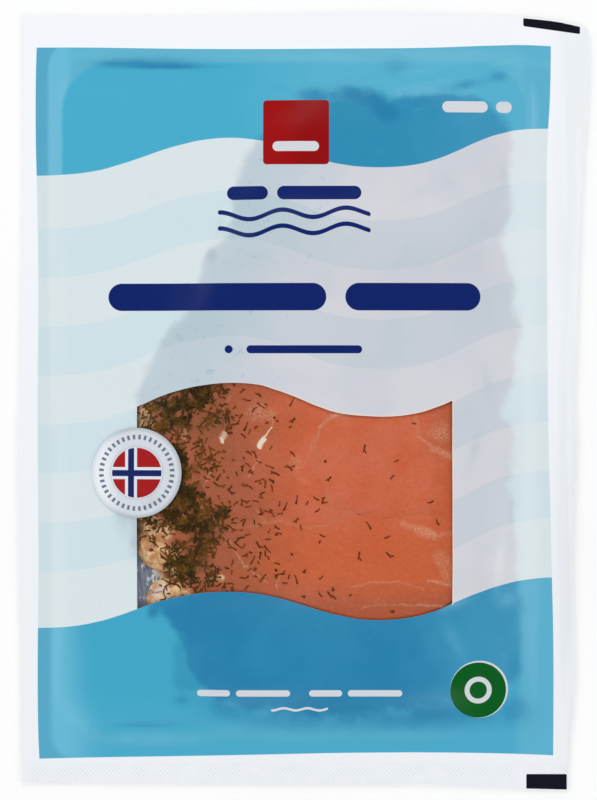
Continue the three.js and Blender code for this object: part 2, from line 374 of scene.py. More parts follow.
STROKE = stroke()
# Two of these lines, from (-23.3, -15.1) and from (-12.1, -15.1), are painted highlights along creases in
# the clear film over the fish; the rest are fat.
FAT_AND_CREASE_GLINTS = [  # from x, y to x, y, half width and strength, in mm: the pale fat in the window and two painted crease highlights
    (11, -2.4, 7.2, -3.6, 0.5, 0.7), (7.2, -3.6, 3.9, -6.6, 0.5, 0.3), (3.9, -6.6, 1.9, -12, 0.5, 0.2),
    (-8.6, -6.9, -10.6, -9.6, 0.2, 1), (-10.6, -9.6, -11.8, -11.6, 0.6, 1),
    (-8, -3, -8.8, -7, 0.16, 0.5), (-20.7, -8, -21.5, -9.4, 0.7, 0.82),
    (-21.9, -9.6, -21.7, -10.5, 0.5, 0.95), (-20.6, -2, -21, -8, 0.2, 0.5),
    (-31, -7, -31.4, -9, 0.7, 0.7), (-23.3, -15.1, -26.5, -22.4, 0.2, 0.5),
    (-12.1, -15.1, -14.5, -19.2, 0.18, 0.55), (-19.5, 1.1, -22.1, -3.9, 0.3, 0.35),
    (-19.8, -36.5, -15.7, -42.7, 0.18, 0.45), (-15.7, -42.7, -9.8, -47.1, 0.2, 0.5),
    (-6.3, -45, -7.3, -46.8, 0.16, 0.6), (-7.3, -46.8, -7.1, -48.6, 0.15, 0.5),
    (-12.7, -28, -10.4, -31.5, 0.2, 0.3), (0.2, -21, -4, -16.5, 0.9, 0.14),
    (25.4, -31.8, 29.6, -33.2, 0.7, 0.36), (29.6, -33.2, 33.7, -34.9, 1.1, 0.5),
    (33.7, -34.9, 38.6, -34.2, 0.7, 0.26), (35.4, -40.4, 38.6, -46.4, 1.9, 0.3),
    (12.5, -48.3, 18, -47, 0.24, 0.3), (18, -47, 24.5, -47.1, 0.22, 0.36),
    (24.5, -47.1, 31, -49, 0.22, 0.26), (32.6, -46.5, 38.6, -48, 0.36, 0.55),
    (15.2, -53.9, 20.8, -53, 0.22, 0.24), (20.8, -53, 30, -53.3, 0.22, 0.3),
    (30, -53.3, 38.6, -53.7, 0.3, 0.5), (29.9, -9.2, 33.7, -12.1, 0.5, 0.3),
    (33.7, -12.1, 38.6, -14.2, 0.8, 0.45), (29, -3, 29.9, -9.2, 0.5, 0.16),
]
CRISP_FAT, GRAINY_FAT = 0.9, 0.8  # strengths over which fat is crisp, and under which it is grainy
FAT_SPECKLE = [(-12.5, -2.4, 4.2), (-8.8, -3.4, 2.4), (35.5, -8.0, 4.0), (-2.0, -16.0, 3.0)]
SKIN = [  # the tan outer side of the fish, which shows at the left of the window
    (-42.5, -1.5, -42.6, -6.5, 2.6), (-41.5, -32, -37.5, -34, 2.6), (-43.2, -37.4, -36.2, -42.4, 4),
    (-40, -46.5, -33, -51, 3.2), (-44, -51.5, -36, -54, 3.6), (-24.5, -47, -22, -46, 0.8),
]

# A bare patch of skin and the ground under the upper crust: from x, y to x, y, half width and softness.
BARE_SKIN = (-39.0, -50.6, -37.0, -48.8, 1.3, 0.8)
BROWN_GROUND = (-36.0, -3.0, -25.0, -4.0, 5.5, 2.5)


def flesh_finish():
    """Cured salmon: orange flesh, tan skin side, pale fat and the stain of the dill."""
    material, wires, shader = new_finish("cured_flesh", 0.36, gloss=0.25, coat=0.04)
    across, up = wires.flat_place()
    led_across = across.waver(2.5 * MM, 1.6)
    led_up = up.waver(2.1 * MM, 1.6)

    def streak(from_x, from_y, to_x, to_y, half_wide, soft):
        return wires.use(STROKE, {
            "Across": led_across, "Up": led_up, "From X": from_x, "From Y": from_y,
            "To X": to_x, "To Y": to_y, "Half Wide": half_wide, "Soft": soft,
        })["Mask"]

    soft = wires.speckle(12 * MM, 2.0)
    fine = wires.speckle(1.1 * MM, 4.0, stretch=(1, 1.4, 1), roughness=0.6)
    # Painted shade: the flesh is darker along the upper right of the window, where the film's edge would
    # shade it.
    painted_edge_shade = across.ramp(29, 38) * up.ramp(-17, -7)
    flesh = wires.laid(
        wires.mix(soft.ramp(0.34, 0.66), "D46640", "D7704F"),
        (up.ramp(-27, -38), wires.mix(soft, "D06135", "D46B42")),
        (across.waver(9 * MM, 14).ramp(29, 40), "C8613B"),
        (across.waver(8 * MM, 16).ramp(4, -22), "AD5F40"),
        # Painted shade: the flesh darkens toward the window's foot, where the print's edge shades it.
        ((up.waver(7 * MM, 5).ramp(-46, -54), 0.6), "A84E2C"),
        ((painted_edge_shade, 0.5), "B0603F"),
        ((fine.ramp(0.5, 0.8), 0.3), "DA8A66"),
        ((fine.ramp(0.5, 0.25), 0.25), "AC4A2C"),
        ((wires.carried("lip"), 0.3), "DC9671"),
    )

    # Pale fat and painted crease highlights: clean where they are thick, and grainy where they are thin.
    grains = wires.speckle(0.4 * MM, 3.0, roughness=0.7).ramp(0.42, 0.66)
    pale = 0.0
    for x, y, radius in FAT_SPECKLE:
        spot = streak(x, y, x + 0.1, y, radius * 0.6, radius * 0.4) * 0.4
        pale = (spot * grains).larger(pale)
    for *line, half_wide, strength in FAT_AND_CREASE_GLINTS:
        soft_edge = 0.1 + half_wide * (0.2 if strength > CRISP_FAT else 0.5)
        drawn = streak(*line, half_wide, soft_edge) * strength
        if strength < GRAINY_FAT:
            drawn = drawn * grains.scaled(0.85, 0.15)
        pale = drawn.larger(pale)

    # The skin side is tan and mottled, between the flesh and the crust of dill.
    skin = 0.0
    for *line, half_wide in SKIN:
        skin = streak(*line, half_wide, half_wide * 0.5).larger(skin)
    skin = skin * wires.speckle(3 * MM, 4.0).ramp(0.26, 0.42)
    mottle = wires.speckle(0.7 * MM, 4.0, roughness=0.7).ramp(0.54, 0.64)
    tan = wires.laid(
        wires.mix(wires.speckle(2 * MM, 3.0).ramp(0.36, 0.62), "C88E60", "EFC898"),
        ((mottle, 0.5), "8A5426"),
        ((streak(*BARE_SKIN), 0.8), "EBD8CE"),
    )

    # The dill stains the flesh brown where it lies thickly.
    blots = wires.speckle(2.6 * MM, 5.0, roughness=0.65).ramp(0.34, 0.56)
    stain = wires.carried("crust").ramp(0.15, 0.8) * blots.scaled(0.72, 0.28)
    flesh = wires.laid(
        flesh,
        (pale, wires.mix(pale.ramp(0.8, 1.0), "EBC9A6", "EDE2CA")),
        (skin, tan),
        ((streak(*BROWN_GROUND), 0.45), "7E5234"),
        ((stain, 0.84), "4A3114"),
    )
    wires.put(shader.inputs["Base Color"], flesh)
    shader.inputs["Subsurface Weight"].default_value = 0.1
    shader.inputs["Subsurface Radius"].default_value = (1.0, 0.35, 0.2)
    shader.inputs["Subsurface Scale"].default_value = 1.0 * MM
    wires.put(shader.inputs["Roughness"], fine.scaled(0.25, 0.24))
    emboss(wires, shader, fine, 0.05 * MM)
    return material


CRUST = [  # middle x and y, half width and half height in mm, and how thickly the dill lies there
    (-33.5, 1, 7, 4.5, 1.15), (-26.5, 2.2, 5, 3, 0.9), (-41.5, -2.5, 3, 4.5, 0.4),
    (-34, -5.5, 4, 3.6, 0.85), (-24, -4.5, 5, 3, 0.28), (-31, -13.5, 6.5, 4, 0.17),
    (-29, -19, 5.5, 5, 0.4), (-33.5, -19, 2.6, 8, 0.85), (-31.5, -28, 6, 5.6, 0.95),
    (-24.5, -31, 4.5, 4, 0.75), (-27, -38, 4.5, 4, 0.42), (-33, -38, 3.5, 3.5, 0.3),
    (-32.5, -44.2, 5, 3.6, 0.85), (-26, -45.5, 4, 3, 0.4), (-34, -51, 5, 2, 0.14),
    (-41, -33, 3.5, 6, 0.42), (-40, -51, 3, 3, 0.06),
]


# The loose dill is thickest across the pack at this place, and thins out over these ways to both sides.
LOOSE_X, LOOSE_RIGHT, LOOSE_LEFT, LOOSE_THICK = -24, 17, 14, 0.1


def rough(x, y, size, layer):
    """Slow noise of about -1 to 1 over a place in mm, with swells of that size."""
    return noise.noise(Vector((x / size, y / size, layer)))


def mound(x, y, middle_x, middle_y, half_wide, half_high):
    """1 on the top of a soft mound, and 0 far from it."""
    return math.exp(-(((x - middle_x) / half_wide) ** 2) - ((y - middle_y) / half_high) ** 2)


def dill_cover(x, y):
    """How thickly the dill lies, from 0 to 1, at a place in mm."""
    cover = 0.0
    for middle_x, middle_y, half_wide, half_high, thick in CRUST:
        off = ((x - middle_x) / half_wide) ** 4 + ((y - middle_y) / half_high) ** 4
        cover = max(cover, thick * math.exp(-0.7 * off))
    loose = (max(0.0, x - LOOSE_X) / LOOSE_RIGHT) ** 2, (max(0.0, LOOSE_X - x) / LOOSE_LEFT) ** 2
    cover += LOOSE_THICK * math.exp(-loose[0] - loose[1])
    clump = rough(x, y, 3.5, 3.7) + 0.5 * rough(x, y, 1.6, 9.1)
    return held(0.86 * cover * (1 + 1.2 * clump))


def drawn_out(x, y, cape):
    """Where a place in mm comes to lie, in metres, in the ragged outline with a cape pulled to the left."""
    corner = mound(x, y, *LOW_CORNER) + 0.45 * mound(x, y, *HIGH_CORNER)
    x, y = (
        x - CORNER_REACH * corner + 1.6 * rough(x, y, 9, 2.2) + 0.6 * rough(x, y, 3, 4.4),
        y + 1.6 * rough(x, y, 9, 7.7) + 0.6 * rough(x, y, 3, 8.8),
    )
    bay = BAY_DEPTH * mound(x, y, *BAY)
    cape *= mound(x, y, *CAPE)
    torn = 0.5 * rough(x, y, 1.6, 6.6)
    return (x + bay - cape + torn) * MM, (y + torn) * MM


def heap_over(trees, x, y, z):
    """The heap's height over a point. For one that lies covered it is the least height close round it."""
    heap = highest(trees, x, y)
    if heap is None or heap < z + TOUCHING:
        return heap
    for step_x, step_y in ((UNDERLAP, 0), (-UNDERLAP, 0), (0, UNDERLAP), (0, -UNDERLAP)):
        beside = highest(trees, x + step_x, y + step_y)
        if beside is not None:
            heap = min(heap, max(beside, z))
    return heap


FLESH = flesh_finish()
slice_names = sorted(name for name in nodes if name.startswith("slice_"))
slices = []
for name in slice_names:
    piece = node_copy(name, "flesh_" + name)
    solid = tree_of(nodes[name])
    low_corner, high_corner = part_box(name)
    middle = (low_corner + high_corner) / 2
    remesh = piece.modifiers.new("skin", "REMESH")
    remesh.mode = "VOXEL"
    remesh.voxel_size = VOXEL if name in SHOWN_SLICES else HIDDEN_VOXEL
    remesh.use_smooth_shade = True
    soften = piece.modifiers.new("soften", "SMOOTH")
    soften.factor = 0.5
    soften.iterations = SMOOTH_ROUNDS
    apply_modifiers(piece)

    spans = []
    for point in piece.data.vertices:
        x, y = point.co.x, point.co.y
        inward = Vector((middle.x - x, middle.y - y)).normalized()
        for nudge in EDGE_NUDGES:
            high = top_of(solid, x + inward.x * nudge, y + inward.y * nudge)
            low = top_of(solid, x + inward.x * nudge, y + inward.y * nudge, side=-1)
            if high is not None and low is not None:
                break
        spans.append((low, high) if high is not None and low is not None else (point.co.z, point.co.z))
    full = sorted(high - low for low, high in spans)[int(FULL_RANK * len(spans))]
    lips, crusts = [], []
    for point, (low, high) in zip(piece.data.vertices, spans):
        rise = held(((high - low) / full - CAD_EDGE_SHARE) / (1 - CAD_EDGE_SHARE))
        share = held((point.co.z - low) / max(high - low, THINNEST))
        swell = min(1.0, SWELL * rise**SWELL_POWER)
        thickness = full * LIP_SHARE + (high - low + SETTLE - full * LIP_SHARE) * swell
        point.co.z = low - SETTLE + share * thickness - LIP_SINK * (1 - swell)
        point.co.x, point.co.y = drawn_out(point.co.x / MM, point.co.y / MM, CAPES.get(name, 0.0))
        lips.append(max(0.0, 1 - rise * LIP_FADE))
        crusts.append(dill_cover(point.co.x / MM, point.co.y / MM))
    keep_value(piece, "lip", lips)
    keep_value(piece, "crust", crusts)
    slices.append(piece)

# The film presses the heap level. Each slice is made thicker or thinner by the same share as the heap has
# to be, where the slice lies, to come up to the film.
rough_trees = [tree_of(piece) for piece in slices]
lid_solid = tree_of(nodes["lid_film"])
board_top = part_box("board")[1].z
corners = [corner for name in slice_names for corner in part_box(name)]
left, right = min(c.x for c in corners), max(c.x for c in corners)
foot, head = min(c.y for c in corners), max(c.y for c in corners)
level = bmesh.new()
columns, rows = round((right - left) / LEVEL_STEP), round((head - foot) / LEVEL_STEP)
bmesh.ops.create_grid(level, x_segments=columns, y_segments=rows, size=0.5)
for point in level.verts:
    x, y = (left + right) / 2 + point.co.x * (right - left), (foot + head) / 2 + point.co.y * (head - foot)
    point.co = (x, y, (top_of(lid_solid, x, y) or board_top) - PRESS_DROP)
for _ in range(LEVEL_ROUNDS):
    bmesh.ops.smooth_vert(level, verts=level.verts, factor=0.5, use_axis_z=True)
level_tree = BVHTree.FromBMesh(level)
level.free()
flesh_trees = []
for name, piece in zip(slice_names, slices):
    for point in piece.data.vertices:
        heap, even = heap_over(rough_trees, *point.co), top_of(level_tree, point.co.x, point.co.y)
        if heap is None or even is None or heap < board_top + TOUCHING:
            continue
        share = held((even - board_top) / (heap - board_top), *LEVEL_SHARES)
        point.co.z = board_top + (point.co.z - board_top) * (0.04 + 0.96 * share)
    flesh_trees.append(tree_of(piece))
    smooth_faces(piece, 25)
    dress(piece, FLESH)
    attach(piece, "root")
    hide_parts(name)


# The dill is chopped: dark soft threads a millimetre or three long, bent and now and then forked. It is
# pressed into the left ends of the slices as a crust and thins out to the right.
THREAD_WIDE = 0.57
THREAD_HIGH = 0.14
THREAD_LENGTHS = [0.7, 0.8, 1.0, 1.1, 1.2, 1.4, 1.5, 1.7, 1.9, 2.1, 2.5, 1.2]
FORKED, FORKED_TWICE, BROAD = (1, 6, 9), 6, (0, 3)  # which of them are
THREAD_TRIES = 9500
THREAD_LIFT = 0.06 * MM
DILL_WIDE, DILL_LONG = (-48, 14), (-58, 10)
SLOPE_STEP = 0.8 * MM
STEEPEST = 0.85  # the least upward share of a slope that holds a thread
STRAY_LEAF = 0.4
CLEAR_SPOTS = [(-10.5, -9.4, 2.6), (-21.6, -9.5, 2.2)]  # x, y and radius in mm where none lies
STRAYS = [  # x, y in mm and the turn in degrees of the few that lie far to the right
    (28.6, -5.6, -65), (15.6, -12.1, 80), (24, -15.5, 0), (22.9, -19.6, 12), (16.8, -32.2, 15),
    (21.6, -35.4, 0), (22, -40, 50), (14.2, -40.2, 0), (32.9, -26.3, 30), (34.7, -31.5, -60),
    (5.4, -15.5, -70), (6.4, -20, -75), (3, -25.3, 85), (4.8, -25.6, 20), (0.7, -26.3, 0),
    (4.4, -45.9, -45), (7.4, -49, 20), (4, -50.4, 35), (-0.3, -51, 80), (8, -51.5, 80),
    (11.9, -50.6, -35), (23, -55, 80), (-3, -13.5, -30), (-2, -25.5, 30), (4.6, -35, 60),
    (0, -44.2, -15),
]


def mesh_of(shape, name):
    """A mesh made from a bmesh, which it frees."""
    mesh = bpy.data.meshes.new(name)
    shape.to_mesh(mesh)
    shape.free()
    return mesh


def thread_shape(kind, length):
    """One thread in mm, bent in the plane that it lies in. Some have one or two side shoots."""
    draw = random.Random(kind)
    shape = bmesh.new()
    shoots = [(0.0, 0.0, length, draw.uniform(-0.9, 0.9))]
    if kind in FORKED:
        shoots.append((0.1 * length, draw.choice((-0.7, 0.7)), 0.6 * length, 0.0))
    if kind == FORKED_TWICE:
        shoots.append((-0.1 * length, draw.choice((-2.3, 2.3)), 0.4 * length, 0.0))
    for start, turn, reach, bend in shoots:
        before = len(shape.verts)
        bmesh.ops.create_cone(shape, cap_ends=True, segments=6, radius1=0.85, radius2=0.55, depth=1)
        shape.verts.ensure_lookup_table()
        edges = {edge for point in shape.verts[before:] for edge in point.link_edges}
        rails = [edge for edge in edges if abs(edge.verts[0].co.z - edge.verts[1].co.z) > 0.9]
        rails.sort(key=lambda edge: edge.index)
        bmesh.ops.subdivide_edges(shape, edges=rails, cuts=3)
        shape.verts.ensure_lookup_table()
        for point in shape.verts[before:]:
            along, side, thick = point.co.z + (0.5 if before else 0.0), point.co.x, point.co.y
            swell = 1 + 0.25 * math.sin(6 * along + kind)
            angle = turn + bend * along
            across = side * swell * THREAD_WIDE / 2 * (1.7 if kind in BROAD else 0.95)
            point.co = (
                start + reach * along * math.cos(angle) - across * math.sin(angle),
                reach * along * math.sin(angle) + across * math.cos(angle),
                thick * swell * THREAD_HIGH / 2,
            )
    bmesh.ops.recalc_face_normals(shape, faces=shape.faces)
    return mesh_of(shape, f"thread_{kind}")


def lay_thread(threads, kind, x, y, turn, leaf):
    """Copies one thread on to the flesh, at a place in metres, and tilts it to lie along the slope."""
    middle = highest(flesh_trees, x, y)
    ahead = highest(flesh_trees, x + SLOPE_STEP, y)
    beside = highest(flesh_trees, x, y + SLOPE_STEP)
    if middle is None or ahead is None or beside is None:
        return
    normal = Vector((middle - ahead, middle - beside, SLOPE_STEP)).normalized()
    if normal.z < STEEPEST:
        return
    before = len(threads.verts)
    threads.from_mesh(kind)
    threads.verts.ensure_lookup_table()
    thick = dill_cover(x / MM, y / MM)
    wide = (1 + 0.25 * thick) * MM
    placed = (
        Matrix.Translation((x, y, middle + THREAD_LIFT))
        @ normal.to_track_quat("Z", "X").to_matrix().to_4x4()
        @ Matrix.Rotation(turn, 4, "Z")
        @ Matrix.Diagonal((wide, wide, MM, 1))
    )
    for point in threads.verts[before:]:
        point.co = placed @ point.co
        point[leaf_layer] = leaf
        point[thick_layer] = thick


draw = random.Random(5)
kinds = [thread_shape(*kind) for kind in enumerate(THREAD_LENGTHS)]
threads = bmesh.new()
threads.verts.layers.float.new("leaf")
threads.verts.layers.float.new("thick")
leaf_layer, thick_layer = threads.verts.layers.float["leaf"], threads.verts.layers.float["thick"]
for _ in range(THREAD_TRIES):
    x, y, chance = draw.uniform(*DILL_WIDE), draw.uniform(*DILL_LONG), draw.random()
    turn, leaf, kind = draw.uniform(0, math.tau), draw.random(), draw.randrange(len(kinds))
    clear = any(math.hypot(x - spot_x, y - spot_y) < radius for spot_x, spot_y, radius in CLEAR_SPOTS)
    if chance < dill_cover(x, y) and not clear:
        lay_thread(threads, kinds[kind], x * MM, y * MM, turn, leaf)
for x, y, turn in STRAYS:
    lay_thread(threads, kinds[draw.randrange(len(kinds))], x * MM, y * MM, math.radians(turn), STRAY_LEAF)
dill = linked("dill", mesh_of(threads, "dill"))

material, wires, shader = new_finish("chopped_dill", 0.55, gloss=0.06)
across = wires.flat_place()[0]


def tones(dark, light):
    """From thread to thread the tone goes from dark to light."""
    return wires.mix(wires.carried("leaf"), dark, light)


thick = wires.carried("thick").ramp(0.2, 0.7)
heaped = thick * wires.speckle(3.0 * MM, 4.0).ramp(0.38, 0.55)
leaf = wires.laid(
    tones("5A2404", "924212"),
    (across.ramp(-14, -26), tones("502D08", "784A16")),
    ((wires.speckle(0.6 * MM, 2.0), 0.2), "5C4210"),
    (thick, tones("50360C", "70501C")),
    ((heaped, 0.85), tones("1A1504", "38290A")),
)
wires.put(shader.inputs["Base Color"], leaf)
wires.put(shader.inputs["Roughness"], wires.speckle(0.5 * MM).scaled(0.3, 0.35))
dress(dill, material)
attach(dill, "root")


# The lid film is printed on its inside and drawn down over the fish, and its rim is sealed flat to the
# back film. One clear window is left in the print. The whole web is one drape, cut to the pack's outline,
# and the window is parted from it along the print's edge.
LID_MESH = 1.0 * MM
LID_THICK = 0.1 * MM
LID_SINK = 0.42 * MM  # closes the CAD's gap between the two films
FLESH_CLEARANCE = 0.24 * MM
LID_EDGE = 1 * MM  # where the web starts past the CAD film's edge
LID_ROUNDS, LAST_ROUNDS = 12, 2  # of smoothing, before and after the film is pressed down
RIPPLE_END, RIPPLE_FADE = 97, 8
RIPPLE_DEPTH, PRESS_DEPTH = 0.2, 0.3
PRESS_REACH = 40
RIM_HEIGHT = 0.42 * MM  # where the sealed rim lies, on the back film
KNIFE_LOW, KNIFE_HIGH = -5 * MM, 40 * MM  # well below and above the pack
# Each line is the height that its curve's 0 stands for, and its places and heights, in mm.
WAVE_STOPS = [
    -70.4, -62, -55, -49, -43, -37.5, -32, -26, -20, -14, -8, -2, 4, 10, 16, 22, 28, 34, 40, 46, 52, 58,
    64.6,
]
UPPER_WAVE = (58, list(zip(WAVE_STOPS, [
    59.76, 60.07, 60.98, 62.57, 64.53, 66.44, 68, 69.21, 69.65, 69.2, 67.9, 66.15, 63.78, 62.36, 61.69,
    61.64, 62.15, 63.55, 65.88, 68.58, 70.68, 71.84, 72.18,
])))
WINDOW_WAVE = (-7, list(zip(WAVE_STOPS, [
    -5.59, -5.26, -4.37, -2.86, -0.8, 1.58, 3.29, 4.47, 5.01, 4.78, 3.32, 1.16, -1.33, -3.05, -3.66,
    -3.81, -3.19, -1.55, 0.96, 3.91, 6.2, 7.41, 7.99,
])))
LOWER_WAVE = (-60, list(zip(WAVE_STOPS, [
    -59.72, -59.22, -58.03, -56.32, -54.16, -52.27, -50.95, -49.97, -49.7, -50, -51.02, -52.66, -54.58,
    -56.09, -57.06, -57.13, -56.43, -54.85, -52.2, -49.8, -47.94, -46.79, -46.29,
])))
WAVE_LEFT, WAVE_RIGHT = WAVE_STOPS[0], WAVE_STOPS[-1]
WAVE_HIGH = 16.0  # what the whole height of a curve stands for
PANEL_WIDE, PANEL_LONG = (-72, 66), (-95, 95)  # what the lines of the print's edges span
PANEL_TOP = (84, [
    (-72, 93.64), (-58, 93.62), (-27, 93.25), (12, 93.35), (32, 93.55), (50, 94.15), (57, 94.3),
    (66, 93.95),
])
PANEL_FOOT = (-100, [
    (-72, -94.3), (-58, -93.95), (-27, -93.45), (-10, -93.1), (12, -92.65), (42, -92.65), (66, -93.35),
])
PANEL_LEFT = (-78, [
    (-95, -70), (-84, -70.4), (-40, -70.3), (0, -70.5), (30, -70.3), (53, -70.6), (70, -71), (84, -71),
    (95, -70.7),
])
PANEL_RIGHT = (58, [
    (-95, 65.7), (-62, 65.7), (-46, 65.3), (-31, 65), (-8, 64.4), (22, 64.15), (66, 64.1), (82, 64.9),
    (95, 65.1),
])
FOOT_DARK_PATCHES = [  # places under the blue foot, past the fish's edge, darkened toward the tone over the fish: middle, half width and height, corner and strength
    (45.5, -63, 11.5, 11, 4, 0.85), (39, -77.5, 11, 6, 3, 0.8), (-30, -69, 4.5, 7, 3, 0.45),
]
WINDOW_LEFT, WINDOW_RIGHT = -44.1, 38.7
WINDOW_TOP = 64.7  # what the way from the upper wave down to the window's counts as
WINDOW_STEPS = 60
# Besides denting the film, these set its print's colour: darker in the dents, partly the film's closer
# touch on what lies under it and partly painted shade of the dents and creases, and lighter where the film
# lifts, which is a painted sheen.
PRESSED = [  # x, y, half length, half height, turn in degrees and depth: below 0 where the film lifts
    (-38.3, 88.6, 12.5, 0.7, -1, 0.7), (-38, 89.8, 13, 1.6, -1, 0.4), (-50, 89.6, 6, 1, 3, 0.3),
    (1.5, 80.8, 3.4, 1.9, 0, 0.7), (13.8, 81.1, 5.4, 2.2, -8, 0.9), (21.2, 76.3, 3.4, 2.2, -30, 1),
    (24.1, 88.5, 4.2, 2.6, 0, 0.4), (50.9, 85.8, 2.8, 1.6, 0, 0.5), (43, 83.6, 4.2, 1.2, 8, 0.5),
    (33, 79, 8, 3, 10, 0.25), (-40, -55.5, 1.4, 1.5, 0, 0.8), (-35, -55.5, 3.4, 1.4, 20, 0.4),
    (-42, -85.2, 9, 0.9, 0, 0.45), (-32.5, -78.5, 2.2, 1.5, 0, 0.45), (56, -80.5, 4.6, 3, 0, 0.28),
    (19.3, -75.2, 8.4, 2.6, 0, 0.5), (39.5, -63, 6, 2, -62, -0.24), (53.7, -52, 3, 2.4, 0, -0.3),
    (40, -52.5, 4.5, 1.5, 20, -0.3), (-2, -83, 20, 3.8, 0, 0.56), (34, -83, 20, 3.8, 0, 0.62),
    (-23, -79.5, 5, 2.6, -20, 0.4), (55, -70, 2.4, 9, 0, 0.4), (-40, -89, 15, 1.8, 0, -0.34),
    (51.2, -41.6, 1.3, 8, -8, -0.35), (54.2, -28, 1, 8, 0, 0.4), (44.6, -12.5, 1.6, 6, -14, 0.45),
    (48, 5, 1.8, 7, 10, 0.4), (-24.5, 38.2, 1.4, 1.6, 0, 0.9), (-22, 46, 1.6, 4, -10, 0.35),
    (-47.6, -30, 2.6, 5.5, 0, 0.55), (-44.6, -39, 1.6, 3.4, 0, 0.5), (30, 55, 5, 2.2, 20, 0.3),
    (38, 58, 3, 1.6, -30, 0.3), (52.4, 60, 1.4, 4.6, 12, 0.4), (12, 30, 16, 2.4, 12, 0.16),
    (30, 18, 14, 2.4, 12, 0.16), (-66.4, 62, 1.2, 26, 0, -0.3),
]


def wave_curve(wires, share, base, points):
    """The height of a wavy line over a place across the print."""
    first, last = points[0][0], points[-1][0]
    curve = wires.node("ShaderNodeFloatCurve", {"Value": share})
    line = curve.mapping.curves[0]
    for _ in points[2:]:
        line.points.new(0.5, 0.5)
    for point, (x, y) in zip(line.points, points):
        point.location = ((x - first) / (last - first), (y - base) / WAVE_HIGH)
    curve.mapping.update()
    return curve.mapping, Value(wires, curve.outputs[0]).scaled(WAVE_HIGH, base)


def print_place():
    """Where a point lies on the print, in mm, and how far it lies below the print's wavy edges."""
    tree, wires, _, out = new_group("print_place", {}, ["Across", "Up", "Below", "Below Lower"])
    across, up = wires.flat_place()
    share = across.ramp(WAVE_LEFT, WAVE_RIGHT, "LINEAR")
    upper_height = wave_curve(wires, share, *UPPER_WAVE)[1]
    middle, middle_height = wave_curve(wires, share, *WINDOW_WAVE)
    lower, lower_height = wave_curve(wires, share, *LOWER_WAVE)
    way = (upper_height - up) / (upper_height - middle_height)
    wires.put(out["Across"], across)
    wires.put(out["Up"], up)
    wires.put(out["Below"], way * WINDOW_TOP)
    wires.put(out["Below Lower"], lower_height - up)
    return tree, middle, lower


PRINT_PLACE, MIDDLE, LOWER = print_place()


def wave_height(mapping, base, x):
    """A wavy line's height over a place in mm, as the curve in the finish gives it."""
    share = held((x - WAVE_LEFT) / (WAVE_RIGHT - WAVE_LEFT))
    return base + WAVE_HIGH * mapping.evaluate(mapping.curves[0], share)


def pressed(x, y):
    """How hard the film is pressed on what lies below it at a place in mm, or below 0 where it lifts."""
    total = 0.0
    for middle_x, middle_y, half_long, half_high, turn, depth in PRESSED:
        off_x, off_y = x - middle_x, y - middle_y
        if abs(off_x) > PRESS_REACH or abs(off_y) > PRESS_REACH:
            continue
        lean = math.radians(turn)
        along = (off_x * math.cos(lean) + off_y * math.sin(lean)) / half_long
        aside = (off_y * math.cos(lean) - off_x * math.sin(lean)) / half_high
        total += depth * math.exp(-0.8 * (along**2 + aside**2))
    return total


low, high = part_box("lid_film")
middle_x, middle_y = (low.x + high.x) / 2, (low.y + high.y) / 2
wide, long = high.x - low.x + 2 * MM, high.y - low.y + 2 * MM
web = bmesh.new()
bmesh.ops.create_grid(web, x_segments=round(wide / LID_MESH), y_segments=round(long / LID_MESH), size=0.5)
for point in web.verts:
    x, y = middle_x + point.co.x * wide, middle_y + point.co.y * long
    base = top_of(lid_solid, x, y)
    point.co = (x, y, (LID_EDGE if base is None else base) - LID_SINK)
for _ in range(LID_ROUNDS):
    bmesh.ops.smooth_vert(web, verts=web.verts, factor=0.5, use_axis_z=True)
for point in web.verts:
    x, y = point.co.x / MM, point.co.y / MM
    inside = held(min(x - PANEL_WIDE[0], PANEL_WIDE[1] - x, RIPPLE_END - abs(y)) / RIPPLE_FADE)
    ripple = rough(x, y, 16, 0.3) + 0.5 * rough(x, y, 7, 5.1)
    ripple += 0.7 * noise.noise(Vector((x / 3.2, y / 15, 1.9))) * held((abs(x + 3) - 52) / 6)
    ripple += 0.7 * noise.noise(Vector((x / 15, y / 3.2, 6.3))) * held((abs(y) - 76) / 6)
    point.co.z += (RIPPLE_DEPTH * ripple * inside - PRESS_DEPTH * pressed(x, y)) * MM
    flesh = highest(flesh_trees, point.co.x, point.co.y)
    if flesh is not None:
        point.co.z = max(point.co.z, flesh + FLESH_CLEARANCE)
    point.co.z = max(point.co.z, RIM_HEIGHT + LID_THICK)
for _ in range(LAST_ROUNDS):
    bmesh.ops.smooth_vert(web, verts=web.verts, factor=0.3, use_axis_z=True)
bmesh.ops.solidify(web, geom=web.faces[:], thickness=LID_THICK)
bmesh.ops.recalc_face_normals(web, faces=web.faces)
lid = linked("lid_print", mesh_of(web, "lid_print"))

outline = node_copy("back_film", "cutting_outline")
for point in outline.data.vertices:
    point.co.z = KNIFE_LOW if point.co.z < 0.2 * MM else KNIFE_HIGH


def cut(obj, cutter, operation):
    """Cuts one closed mesh by another."""
    knife = obj.modifiers.new("cut", "BOOLEAN")
    knife.operation = operation
    knife.solver = "MANIFOLD"
    knife.object = cutter
    apply_modifiers(obj)


cut(lid, outline, "INTERSECT")
bpy.data.objects.remove(outline)

